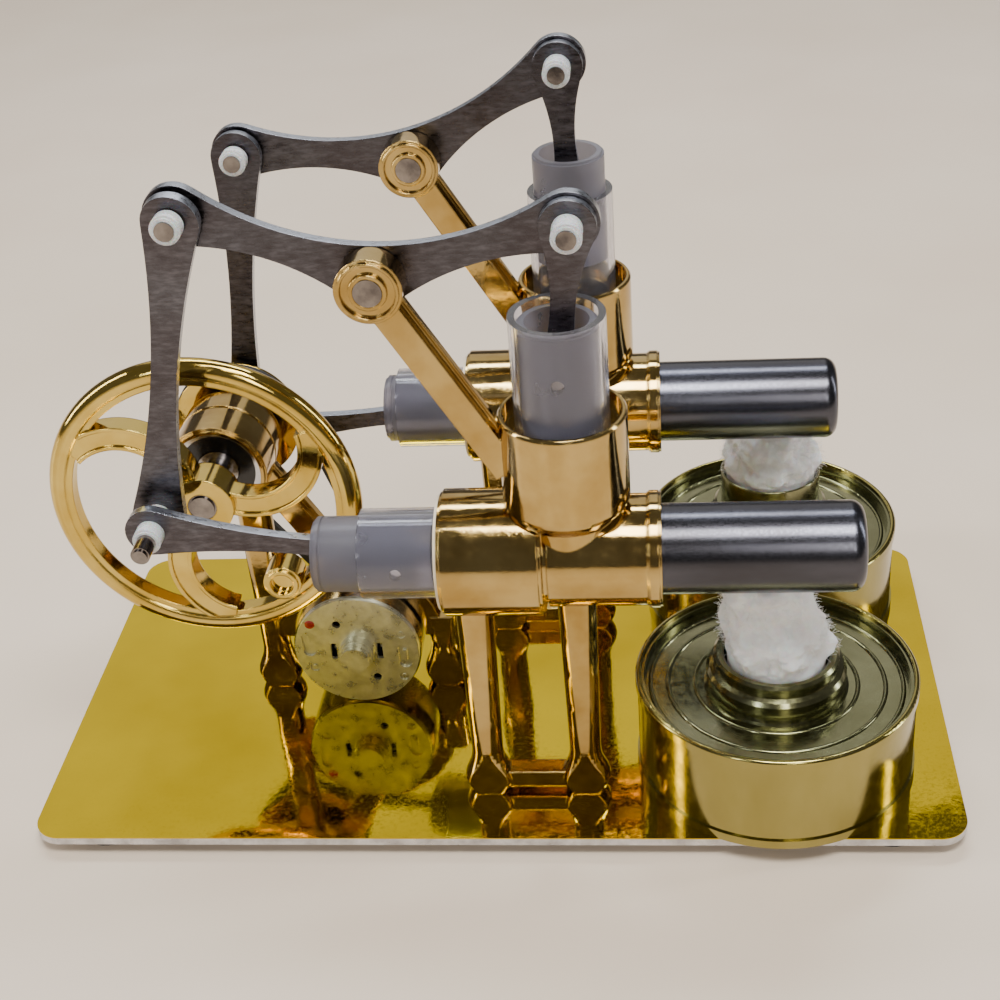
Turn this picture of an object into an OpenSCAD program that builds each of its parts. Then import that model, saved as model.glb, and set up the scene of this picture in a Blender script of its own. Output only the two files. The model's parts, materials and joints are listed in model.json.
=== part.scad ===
// Twin-cylinder hot-air engine model: two horizontal displacer engines with
// overhead rocking beams drive one flywheel shaft and a small generator.
// +X runs from the flywheel to the hot ends, +Y to the back, +Z up.
// The origin is on the table, midway between the two spirit lamps.
// Heights named *_h are above the top of the base board.

/* [Base board] */
// Length of the base board
board_w = 164; // [150:1:200]
// Depth of the base board
board_d = 87.5; // [80:0.5:120]
// Thickness of the steel board
board_t = 1.4; // [1:0.1:4]
// Thickness of the mirror film on the board
film_t = 0.2; // [0.1:0.05:0.5]
// Corner radius of the board
board_corner_r = 5; // [2:0.5:12]
// Diameter of a rubber foot
foot_d = 12; // [8:0.5:16]
// Height of a rubber foot
foot_t = 2.2; // [2:0.1:6]
// Y of the board's centre line
board_y = -3.15; // [-6:0.05:0]

/* [Shaft and flywheel] */
// X of the crankshaft
shaft_x = -47.8; // [-52:0.1:-45]
// Height of the crankshaft
shaft_h = 52.4; // [48:0.1:58]
// Diameter of the crankshaft
shaft_d = 5; // [4:0.1:5.8]
// Outer radius of the flywheel
wheel_r = 27.5; // [24:0.1:30]
// Y of the flywheel's mid plane
wheel_y = -18.05; // [-20:0.05:-17]
// Crank throw
crank_throw = 6.2; // [4.5:0.1:7]
// Angle of the front crank pin, from +X towards +Z
front_crank_angle = 144.8; // [0:0.1:360]
// Angle of the rear crank pin, from +X towards +Z
rear_crank_angle = 272.7; // [0:0.1:360]
// Diameter of the crank pins
crank_pin_d = 3.2; // [2.4:0.1:4]
// Radius of the rear crank disc
disc_r = 11.6; // [10:0.1:13]

/* [Engines] */
// Y of the front engine's plane
front_engine_y = -33.28; // [-36:0.01:-32]
// Y of the rear engine's plane
rear_engine_y = 16.04; // [16:0.01:19]
// Height of the displacer axis
barrel_h = 50.64; // [48:0.02:54]
// X of the power cylinder's axis
cylinder_x = 16.24; // [15:0.02:18]
// Outer diameter of the clear glass tubes
tube_d = 15; // [14:0.1:16]
// Bore of the clear glass tubes
tube_bore_d = 12.72; // [11.5:0.02:13]
// Outer diameter of the hot cap
cap_d = 14.84; // [14:0.02:16.4]
// Right end of the hot cap
cap_end_x = 63.5; // [58:0.5:70]
// Height of the power tube's top
tube_top_h = 93.4; // [90:0.1:95]

/* [Beam linkage] */
// X of the beam pivot
pivot_x = -11.14; // [-13:0.02:-9]
// Height of the beam pivot
pivot_h = 99.67; // [96:0.01:104]
// Left arm of the beam, pivot to pin
beam_left = 30.71; // [28:0.01:33]
// Right arm of the beam, pivot to pin
beam_right = 30.75; // [28:0.01:32]
// Angle between the two arms
beam_angle = 144.33; // [138:0.01:150]
// Long link, pin to pin
long_link_l = 56.3; // [53:0.1:59]
// Short link, pin to pin
short_link_l = 23.15; // [21:0.05:26]
// Cross link, pin to pin
cross_link_l = 41.4; // [39:0.1:44]
// Thickness of the links and the beam
link_t = 1.8; // [1.2:0.1:2.2]
// Diameter of the beam's end pins
beam_pin_d = 3; // [2:0.1:3.6]
// Diameter of the beam's pivot pin
pivot_pin_d = 4.4; // [3:0.1:5]

/* [Generator] */
// Diameter of the generator motor
motor_d = 24.4; // [20:0.1:25]
// Length of the generator motor
motor_l = 12.24; // [10:0.1:14]
// X of the generator's axis
motor_x = -27.1; // [-28:0.1:-26]

/* [Spirit lamps] */
// Radius of a lamp's seamed rim
can_r = 24.64; // [21:0.02:26]
// Height of a lamp
can_h = 18.97; // [14:0.05:22]
// X of the front lamp
front_can_x = 50.5; // [48:0.1:56]
// X of the rear lamp
rear_can_x = 52.3; // [48:0.1:56]

/* [Clearances] */
// Radial running clearance of pins in links
run_gap = 0.05; // [0.02:0.01:0.09]
// Radial clearance of pieces fixed in one another
seat_gap = 0.02; // [0.01:0.01:0.05]
// Side gap between pieces that move past each other
side_gap = 0.2; // [0.15:0.05:0.4]

/* [Hidden] */

$fn = 64;
eps = 0.01;

// Colours
c_gold = [0.85, 0.70, 0.36];
c_film = [0.80, 0.66, 0.10];
c_steel = [0.62, 0.64, 0.68];
c_dark = [0.36, 0.38, 0.42];
c_nylon = [0.90, 0.91, 0.92];
c_tube = [0.72, 0.74, 0.82, 0.5];
c_tin = [0.66, 0.64, 0.44];
c_black = [0.06, 0.06, 0.07];
c_cotton = [0.95, 0.94, 0.93];
c_zinc = [0.70, 0.66, 0.42];

// Heights of the base
board_z = foot_t;
film_z = board_z + board_t;
deck = film_z + film_t;
foot_inset = [12.5, 8];

// Screws into the legs
screw_d = 3;
screw_head_d = 5.4;
screw_head_t = 1.4;
screw_depth = 9;
screw_hole_d = screw_d + 2 * run_gap;

// Engine body, along X
barrel_x = [-4.6, 12.5, 31.2];
barrel_r = [10.54, 9.17];
end_flange_r = 9.6;
end_flange_w = 2;
guide_tube_x = [-17.9, 8.5];
cap_seat_x = 20;
cap_wall = 0.5;
chamber_r = cap_d / 2 - cap_wall - seat_gap;
cap_round = 2.2;
leg_x = [-0.4, 16.9];
leg_top_h = barrel_h - 8;
leg_flat = 2.65;
bulb_r = 4.35;
leg_neck_r = 2.7;
leg_top_r = 3.3;

// Power cylinder, upright
cup_r = max(10.18, tube_d / 2 + 2.6);
cup_wall = 0.78;
cup_rim_h = 76.9;
cup_floor_h = 73.5;
cup_foot_h = barrel_h + 10.6;
cup_foot = [2.4, 3];
tube_seat_h = 66;
port_r = 4;

// Pistons
piston_d = tube_bore_d - 0.12;
piston_cavity_d = piston_d - 2.7;
guide_mouth = 14;
guide_head = 6;
guide_wall = 3;
power_crown = 8;
power_len = 19;
power_cavity = 15;
small_pin_d = 2;
small_pin_l = piston_d - 1.4;
wrist_play = 0.75;
displacer_gap = 0.6;
displacer_x = [29, 61];
displacer_wall = 0.4;

// Layers along Y, measured from an engine's plane
beam_y = 2.0;
boss_y = [-4.4, 0.9];
boss_r = max(5.2, pivot_pin_d / 2 + 1.6);
long_top_y = -0.7;
long_low_y = [5.43, -3.44];
pin_head_t = 0.6;
left_sleeve_y = [-2.15, -4.7];
right_sleeve_y = [-link_t / 2 - side_gap, -5.2];
sleeve_d = max(4.7, beam_pin_d + 1.6);
end_sleeve_l = 3;
pin_end_l = 4.2;
bush_d = 4.6;
bush_past = [1.2, 1];
pin_past = [0.7, 0.5];

// Outlines of the links
beam_eye_r = 4.8;
beam_hub_r = max(5.2, pivot_pin_d / 2 + 2.4);
beam_rise = 5.2;
arm_half = 2.2;
long_eye_r = 4.4;
long_waist = 2.05;
cross_eye_r = 4.3;
cross_small_r = 2.8;
cross_waist = 1.5;
short_eye_r = 4.3;
short_small_r = 3.1;
short_waist = 1.85;

// Flywheel and rear disc
rim_t = 4.4;
rim_w = 4;
hub_r = max(5.5, shaft_d / 2 + 2.5);
hub_y = [-2.9, 3.2];
spoke_w = 4.3;
spoke_t = 3.2;
spoke_lip = 0.4;
spoke_edge = 0.7;
spoke_centre = [7.4, 11.8] * (wheel_r / 27.5);
spoke_r = 11.5 * (wheel_r / 27.5);
spoke_phase = -6;
knob_angle = -54;
knob_r = 3.4;
knob_in = 3;
knob_y = [-3.4, 2.2];
disc_y = [7.85, 10.85];
disc_groove = 1.3;
crank_boss_r = 3.4;

// Stand and bearings
stand_y = -1.95;
barrel_y = [-9.85, 4.25];
stand_barrel_r = 9.1;
bearing_d = 16;
bearing_w = 5;
bearing_inset = 1.5;
bearing_shoulder_r = 6.6;
inner_ring_r = shaft_d / 2 + 1.2;
arch_w = 5;
arch_t = 3.5;
arch_gap = 0.4;
strut_w = 4.4;
strut_t = 4.2;
strut_rib_w = 1.6;
strut_rib_h = 0.7;

// Generator
motor_r = motor_d / 2;
stand_leg_x = [motor_x - motor_r - 5.1, motor_x + motor_r + 3.6];
motor_axis_h = motor_r + 0.05;
motor_front_y = -9.39;
motor_plate_t = 0.8;
motor_wall = 0.9;
motor_shaft_d = 2;
boss_steps = [3.4, 3, 2.7];
pulley_r = 4.3;
pulley_groove = 1.1;
belt_t = 1.2;
belt_gap = 0.3;
belt_y = (disc_y[0] + disc_y[1]) / 2;

// Lamps
can_gap = 0.22;
can_y = can_r + can_gap / 2;
can_body_r = can_r - 0.36;
can_wall = 0.6;
lid_drop = 2.6;
lid_t = 0.5;
neck_base_r = 12.15;
neck_top_r = 10.9;
neck_bore_r = 9.1;
neck_rise = 7;
holder_t = 0.5;
holder_rise = [0, 7];
wick_r = neck_bore_r - 0.3;

// Positions of the linkage, worked out from the crank angles
engine_y = [front_engine_y, rear_engine_y];
crank_angle = [front_crank_angle, rear_crank_angle];
shaft_c = [shaft_x, shaft_h];
pivot_c = [pivot_x, pivot_h];
function polar(r, a) = [r * cos(a), r * sin(a)];
function heading(v) = atan2(v[1], v[0]);
function crank_c(e) = shaft_c + polar(crank_throw, crank_angle[e]);
function long_angle(e) =
  let (v = pivot_c - crank_c(e), d = norm(v))
  heading(v) + acos((long_link_l ^ 2 + d ^ 2 - beam_left ^ 2) / (2 * long_link_l * d));
function left_c(e) = crank_c(e) + polar(long_link_l, long_angle(e));
function left_angle(e) = heading(left_c(e) - pivot_c);
function right_c(e) = pivot_c + polar(beam_right, left_angle(e) - beam_angle);
function wrist_c(e) =
  [cylinder_x, right_c(e)[1] - sqrt(short_link_l ^ 2 - (right_c(e)[0] - cylinder_x) ^ 2)];
function guide_c(e) =
  [crank_c(e)[0] + sqrt(cross_link_l ^ 2 - (crank_c(e)[1] - barrel_h) ^ 2), barrel_h];

// The grazing circles stop this far short of the eyes
graze_gap = 0.03;

// Radius of the circle that grazes both eyes of a link and leaves a half waist w
function graze_r(l, r1, r2, w) =
  let (a = (l ^ 2 + r1 ^ 2 - r2 ^ 2) / (2 * l), b = (r1 - r2) / l,
       q = r1 - w, m = a * b - q, c = a ^ 2 + w ^ 2 - r1 ^ 2)
  abs(b) < 0.001 ? c / (2 * q) : (-m - sqrt(m ^ 2 - b ^ 2 * c)) / b ^ 2;
function graze_x(l, r1, r2, r) = (l ^ 2 + 2 * r * (r1 - r2) + r1 ^ 2 - r2 ^ 2) / (2 * l);

// A cylinder along +Y from y0 to y1
module rod_y(r, y0, y1) {
  translate([0, y0, 0]) rotate([-90, 0, 0]) cylinder(r = r, h = y1 - y0);
}

// A cylinder along +X from x0 to x1
module rod_x(r, x0, x1) {
  translate([x0, 0, 0]) rotate([0, 90, 0]) cylinder(r = r, h = x1 - x0);
}

// A plate whose outline is drawn in X and Z, from y0 to y1
module plate_y(y0, y1) {
  translate([0, y1, 0]) rotate([90, 0, 0]) linear_extrude(y1 - y0) children();
}

// Moves children to a point of an engine's plane, given as [x, height]
module at(e, p) {
  translate([p[0], engine_y[e], deck + p[1]]) children();
}

module rounded_rect(w, d, r) {
  for (sx = [-1, 1], sy = [-1, 1])
    translate([sx * (w / 2 - r), sy * (d / 2 - r)]) circle(r);
  square([w, d - 2 * r], center = true);
  square([w - 2 * r, d], center = true);
}

// Places of the leg screws
module at_screws() {
  for (e = [0, 1], x = leg_x) translate([x, engine_y[e], 0]) children();
  for (x = stand_leg_x) translate([x, stand_y, 0]) children();
}

// Outline of a link: two eyes at the ends of a waisted bar along +X
module link_outline(l, r1, r2, w) {
  r = graze_r(l, r1, r2, w);
  cx = graze_x(l, r1, r2, r);
  t1 = [cx, r + w] * ((r1 - graze_gap) / (r + r1));
  t2 = [l, 0] + [cx - l, r + w] * ((r2 - graze_gap) / (r + r2));
  circle(r1);
  translate([l, 0]) circle(r2);
  difference() {
    polygon([t2, t1, [t1[0], -t1[1]], [t2[0], -t2[1]]]);
    for (s = [-1, 1]) translate([cx, s * (r + w)]) circle(r - graze_gap, $fn = 360);
  }
}

// Cast leg with a bulb foot and flat front and back
module leg(h, top_r) {
  bulb_h = 9;
  intersection() {
    rotate_extrude()
      polygon(concat([[0, 0]],
        [for (z = [0:1:bulb_h])
          [leg_neck_r + (bulb_r - leg_neck_r) * exp(-((z - 3) / 3.1) ^ 2), z]],
        [[top_r, h], [0, h]]));
    translate([-10, -leg_flat, 0]) cube([20, 2 * leg_flat, h]);
  }
}

module screw_bore() {
  translate([0, 0, deck - eps]) cylinder(d = screw_hole_d, h = screw_depth + 0.5);
}

// ---------------- base ----------------

module base_board() {
  color(c_steel) difference() {
    translate([0, board_y, board_z]) linear_extrude(board_t)
      rounded_rect(board_w, board_d, board_corner_r);
    at_screws() cylinder(d = screw_hole_d, h = deck);
  }
}

module mirror_sheet() {
  color(c_film) difference() {
    translate([0, board_y, film_z]) linear_extrude(film_t)
      rounded_rect(board_w, board_d, board_corner_r);
    at_screws() cylinder(d = screw_hole_d, h = deck + 1);
  }
}

module rubber_feet() {
  color(c_black)
    for (sx = [-1, 1], sy = [-1, 1])
      translate([sx * (board_w / 2 - foot_inset[0]), board_y + sy * (board_d / 2 - foot_inset[1]), 0])
        cylinder(d = foot_d, h = foot_t);
}

module leg_screws() {
  color(c_dark) at_screws() {
    translate([0, 0, board_z - screw_head_t]) difference() {
      cylinder(d = screw_head_d, h = screw_head_t);
      translate([0, 0, -eps]) cylinder(d = 2.2, h = 0.9, $fn = 6);
    }
    translate([0, 0, board_z]) cylinder(d = screw_d, h = deck - board_z + screw_depth);
  }
}

// ---------------- shaft, stand and generator ----------------

module bearing_stand() {
  strut_top = shaft_c + polar(stand_barrel_r - 2, -30);
  strut_low = [motor_x, motor_axis_h] + polar(motor_r + arch_gap + arch_t / 2, 95);
  strut_dir = strut_low - strut_top;
  color(c_gold) difference() {
    union() {
      translate([stand_leg_x[0], stand_y, deck]) leg(shaft_h - stand_barrel_r + 2, leg_top_r);
      translate([stand_leg_x[1], stand_y, deck]) leg(motor_axis_h + 4, leg_top_r);
      translate([shaft_x, 0, deck + shaft_h]) {
        rod_y(stand_barrel_r, barrel_y[0] + 0.5, barrel_y[1]);
        rod_y(stand_barrel_r - 0.4, barrel_y[0], barrel_y[1] + 0.3);
      }
      translate([motor_x, 0, deck + motor_axis_h]) intersection() {
        rod_y(motor_r + arch_gap + arch_t, stand_y - arch_w / 2, stand_y + arch_w / 2);
        translate([-50, -50, 0]) cube([100, 100, 50]);
      }
      translate([strut_top[0], stand_y, deck + strut_top[1]])
        rotate([0, -heading(strut_dir), 0]) {
          translate([0, -strut_t / 2, -strut_w / 2]) cube([norm(strut_dir), strut_t, strut_w]);
          translate([0, -strut_rib_w / 2, 0])
            cube([norm(strut_dir), strut_rib_w, strut_w / 2 + strut_rib_h]);
        }
    }
    translate([shaft_x, 0, deck + shaft_h]) {
      rod_y(bearing_d / 2 + seat_gap, barrel_y[0] - 1, barrel_y[0] + bearing_inset + bearing_w);
      rod_y(bearing_d / 2 + seat_gap, barrel_y[1] - bearing_w - 0.5, barrel_y[1] + 1);
      rod_y(bearing_shoulder_r, barrel_y[0], barrel_y[1]);
      // parting groove round the middle of the barrel
      difference() {
        rod_y(stand_barrel_r + 1, stand_y + 0.2, stand_y + 0.8);
        rod_y(stand_barrel_r - 0.35, stand_y, stand_y + 1);
        translate([-20, -10, -30]) cube([40, 20, 25]);
      }
    }
    translate([motor_x, 0, deck + motor_axis_h])
      rod_y(motor_r + arch_gap, stand_y - arch_w, stand_y + arch_w);
    for (x = stand_leg_x) translate([x, stand_y, 0]) screw_bore();
  }
}

// The start of each bearing along Y
bearing_ys = [barrel_y[0] + bearing_inset, barrel_y[1] - bearing_w - 0.5];

module at_bearings() {
  for (y = bearing_ys) translate([shaft_x, y, deck + shaft_h]) children();
}

module bearing_rings() {
  color(c_steel) at_bearings() difference() {
    rod_y(bearing_d / 2, 0, bearing_w);
    rod_y(bearing_d / 2 - 1.2, -1, bearing_w + 1);
  }
}

module bearing_seals() {
  color(c_black) at_bearings() for (y = [0.25, bearing_w - 0.75]) difference() {
    rod_y(bearing_d / 2 - 1.2 - seat_gap, y, y + 0.5);
    rod_y(inner_ring_r + 0.15, y - 1, y + 1.5);
  }
}

module bearing_inner_rings() {
  color(c_steel) at_bearings() difference() {
    rod_y(inner_ring_r, 0, bearing_w);
    rod_y(shaft_d / 2 + seat_gap, -1, bearing_w + 1);
  }
}

module crankshaft() {
  color(c_dark) translate([shaft_x, 0, deck + shaft_h]) {
    rod_y(shaft_d / 2, wheel_y + hub_y[0] + 0.1, disc_y[1]);
    rod_y(shaft_d / 2 - 0.35, wheel_y + hub_y[0] - 0.3, wheel_y + hub_y[0] + 0.2);
  }
}

// One curved spoke, drawn in X and Z
module spoke_outline() {
  translate(spoke_centre) intersection() {
    difference() {
      circle(spoke_r + spoke_w / 2);
      circle(spoke_r - spoke_w / 2);
    }
    polygon([[0, 0], polar(60, -108), polar(60, -45), polar(60, 20)]);
  }
}

module flywheel() {
  rim_r = wheel_r - rim_t;
  color(c_gold) translate([shaft_x, wheel_y, deck + shaft_h]) difference() {
    union() {
      rotate([90, 0, 0]) rotate_extrude($fn = 128) {
        translate([wheel_r - rim_w / 2, 0]) circle(rim_w / 2);
        translate([rim_r, -rim_w * 0.36]) square([rim_t / 2, rim_w * 0.72]);
        translate([rim_r + rim_t * 0.3, -rim_w * 0.44]) square([rim_t / 3, rim_w * 0.88]);
      }
      rod_y(hub_r, hub_y[0], hub_y[1]);
      plate_y(-spoke_t / 2, spoke_t / 2) intersection() {
        for (a = [0, 120, 240]) rotate(a + spoke_phase) spoke_outline();
        circle(rim_r + 1);
      }
      // raised edges on the faces of the spokes
      plate_y(-spoke_t / 2 - spoke_lip, spoke_t / 2 + spoke_lip) intersection() {
        for (a = [0, 120, 240]) rotate(a + spoke_phase) difference() {
          spoke_outline();
          translate(spoke_centre) difference() {
            circle(spoke_r + spoke_w / 2 - spoke_edge);
            circle(spoke_r - spoke_w / 2 + spoke_edge);
          }
        }
        circle(rim_r + 1);
      }
      rotate([0, -front_crank_angle, 0]) translate([crank_throw, 0, 0])
        rod_y(crank_boss_r, hub_y[0], spoke_t / 2);
      // balance boss on the inside of the rim
      rotate([0, -knob_angle, 0]) translate([rim_r - knob_in, 0, 0]) {
        rod_y(knob_r, knob_y[0] + 0.5, knob_y[1]);
        rod_y(knob_r - 0.5, knob_y[0], knob_y[1]);
      }
    }
    rotate([0, -knob_angle, 0]) translate([rim_r - knob_in, 0, 0])
      rod_y(knob_r - 1.3, knob_y[0] - 1, knob_y[0] + 1.2);
    rod_y(shaft_d / 2 + seat_gap, hub_y[0] - 1, hub_y[1] + 1);
    rotate([0, -front_crank_angle, 0]) translate([crank_throw, 0, 0])
      rod_y(crank_pin_d / 2 + seat_gap, hub_y[0] - 1, hub_y[1] + 1);
  }
}

// Outer ends of the crank pins, past the long links
front_stub_y = engine_y[0] + long_low_y[0] + link_t / 2 + pin_past[0];
rear_stub_y = engine_y[1] + long_low_y[1] - link_t / 2 - pin_past[1];

module crank_pins() {
  color(c_dark) {
    translate([crank_c(0)[0], 0, deck + crank_c(0)[1]])
      rod_y(crank_pin_d / 2, front_stub_y, wheel_y + spoke_t / 2);
    translate([crank_c(1)[0], 0, deck + crank_c(1)[1]])
      rod_y(crank_pin_d / 2, disc_y[0], rear_stub_y);
  }
}

module rear_crank_disc() {
  w = disc_y[1] - disc_y[0];
  color(c_gold) difference() {
    translate([shaft_x, disc_y[1], deck + shaft_h]) rotate([90, 0, 0]) rotate_extrude($fn = 96)
      polygon([[0, 0], [disc_r, 0], [disc_r, 0.5], [disc_r - disc_groove, w / 2 - 0.55],
               [disc_r - disc_groove, w / 2 + 0.55], [disc_r, w - 0.5], [disc_r, w], [0, w]]);
    translate([shaft_x, 0, deck + shaft_h]) rod_y(shaft_d / 2 + seat_gap, disc_y[0] - 1, disc_y[1] + 1);
    translate([crank_c(1)[0], 0, deck + crank_c(1)[1]])
      rod_y(crank_pin_d / 2 + seat_gap, disc_y[0] - 1, disc_y[1] + 1);
  }
}

// Two discs of radius r1 and r2 joined by straights close inside their outer tangents, v apart
module belt_outline(v, r1, r2) {
  a = heading(v);
  b = acos((r1 - r2) / norm(v));
  q1 = r1 - graze_gap;
  q2 = r2 - graze_gap;
  circle(r1);
  translate(v) circle(r2);
  polygon([polar(q1, a + b), polar(q1, a - b), v + polar(q2, a - b), v + polar(q2, a + b)]);
}

module drive_belt() {
  v = [motor_x, motor_axis_h] - shaft_c;
  r1 = disc_r - disc_groove + belt_gap;
  r2 = pulley_r - pulley_groove + belt_gap;
  color(c_black) translate([shaft_x, 0, deck + shaft_h])
    plate_y(belt_y - belt_t / 2, belt_y + belt_t / 2) difference() {
      belt_outline(v, r1 + belt_t, r2 + belt_t);
      belt_outline(v, r1, r2);
    }
}

module at_motor() {
  translate([motor_x, motor_front_y, deck + motor_axis_h]) children();
}

module motor_can() {
  color(c_steel) at_motor() difference() {
    rod_y(motor_r, motor_plate_t, motor_l - 0.8);
    rod_y(motor_r - motor_wall, 0, motor_l - 1.6);
    rod_y(motor_shaft_d / 2 + run_gap, 0, motor_l + 3);
  }
  color(c_steel) at_motor() difference() {
    rod_y(motor_r - 0.8, motor_l - 0.8, motor_l);
    rod_y(motor_shaft_d / 2 + run_gap, 0, motor_l + 3);
  }
}

module motor_end_plate() {
  color(c_zinc) at_motor() difference() {
    union() {
      rod_y(motor_r - 0.35, 0, motor_plate_t);
      rod_y(boss_steps[0], -1.5, motor_plate_t);
      rod_y(boss_steps[1], -2.4, motor_plate_t);
      rod_y(boss_steps[2], -3.2, motor_plate_t);
    }
    rod_y(motor_shaft_d / 2 + run_gap, -1.2, motor_plate_t + 1);
    for (sx = [-1, 1]) translate([sx * (boss_steps[0] + 1), 0, 0]) plate_y(-0.5, motor_plate_t + 1)
      square([1.1, 3.6], center = true);
    for (a = [118, -62]) rotate([0, -a, 0]) translate([7, 0, 0]) rod_y(0.8, -0.5, motor_plate_t + 1);
    // pressed windows with a sunk bottom, one with a lug
    translate([-9.1, 0, 1.7]) plate_y(-0.5, 0.5) window_outline();
    translate([9.1, 0, -1.2]) plate_y(-0.5, 0.5) difference() {
      window_outline();
      square([0.8, 2.4], center = true);
    }
    for (p = [[-8.5, -3.7], [8.7, 3.8], [8.5, -6.1]])
      translate([p[0], 0, p[1]]) plate_y(-0.5, 0.25) difference() {
        circle(0.95);
        circle(0.45);
      }
  }
}

module window_outline() {
  for (s = [-1, 1]) translate([0, s * 1.6]) circle(1.25);
  square([2.44, 3.2], center = true);
}

module motor_armature() {
  color(c_dark) at_motor() {
    rod_y(motor_shaft_d / 2, -1, belt_y - motor_front_y + 2.2);
    difference() {
      rod_y(motor_r - 2.6, 2.2, motor_l - 2.4);
      rod_y(motor_shaft_d / 2 - 0.1, 2, motor_l - 2);
      for (a = [30, 150, 270]) rotate([0, a, 0]) translate([motor_r - 7, 1, -0.8])
        cube([6, motor_l, 1.6]);
    }
  }
}

module motor_pulley() {
  y0 = belt_y - 2;
  color(c_nylon) translate([motor_x, y0 + 4, deck + motor_axis_h]) difference() {
    rotate([90, 0, 0]) rotate_extrude()
      polygon([[0, 0], [pulley_r, 0], [pulley_r, 0.8], [pulley_r - pulley_groove, 1.3],
               [pulley_r - pulley_groove, 2.7], [pulley_r, 3.2], [pulley_r, 4], [0, 4]]);
    rod_y(motor_shaft_d / 2 + seat_gap, -5, 1);
  }
}

// ---------------- lamps ----------------

module can_body(x, y) {
  color(c_tin) translate([x, y, deck]) rotate_extrude($fn = 128) difference() {
    union() {
      square([can_body_r, can_h - 0.4]);
      square([can_r, 1.6]);
      translate([can_body_r - 0.6, can_h - 1.9]) square([can_r - can_body_r + 0.6, 1.5]);
      translate([can_r - 0.6, can_h - 0.6]) circle(0.6);
    }
    translate([-1, can_wall]) square([can_body_r - can_wall + 1, can_h]);
  }
}

module can_lid(x, y, rise) {
  inner = can_body_r - can_wall - 0.05;
  top = can_h - lid_drop;
  color(c_tin) translate([x, y, deck]) rotate_extrude($fn = 128) difference() {
    union() {
      translate([neck_bore_r, top - lid_t]) square([inner - neck_bore_r, lid_t]);
      // turned-up edge against the can
      translate([inner - 0.5, top - lid_t]) square([0.5, lid_drop + lid_t - 0.6]);
      // pressed rings
      for (k = [0.60, 0.80, 0.93]) translate([inner * k, top - 0.15]) circle(0.45);
      polygon([[neck_bore_r, top - lid_t], [neck_base_r + 0.7, top - lid_t], [neck_base_r + 0.2, top + 0.5],
               [neck_base_r, top + 1], [neck_base_r, top + 3.6], [neck_base_r - 0.5, top + 4.3],
               [neck_top_r, top + 4.7], [neck_top_r, top + neck_rise - 0.5],
               [neck_top_r - 0.5, top + neck_rise], [neck_bore_r + 0.5, top + neck_rise],
               [neck_bore_r, top + neck_rise - 0.5]]);
      // holder of the wick, pushed into the neck
      if (rise > 0) translate([neck_bore_r, top]) {
        square([holder_t, neck_rise + rise - holder_t / 2]);
        translate([holder_t / 2, neck_rise + rise - holder_t / 2]) circle(holder_t / 2);
      }
    }
    translate([-1, top - 3]) square([1 + neck_bore_r, 20]);
  }
}

module wick(x, y, rise) {
  top = barrel_h - cap_d / 2 - 0.6;
  neck = can_h - lid_drop + neck_rise + rise;
  grow = (top - neck) / 17;
  color(c_cotton) translate([x, y, deck]) rotate_extrude()
    polygon([[0, 3], [wick_r, 3], [wick_r, neck - 0.5], [wick_r - 0.2, neck + 3 * grow],
             [wick_r - 1.2, neck + 8 * grow], [wick_r - 1.8, top - 3 * grow],
             [wick_r - 3.2, top - 1], [wick_r - 5.5, top], [0, top]]);
}

module wicks() {
  wick(front_can_x, -can_y, holder_rise[0]);
  wick(rear_can_x, can_y, holder_rise[1]);
}

// ---------------- one engine ----------------

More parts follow.
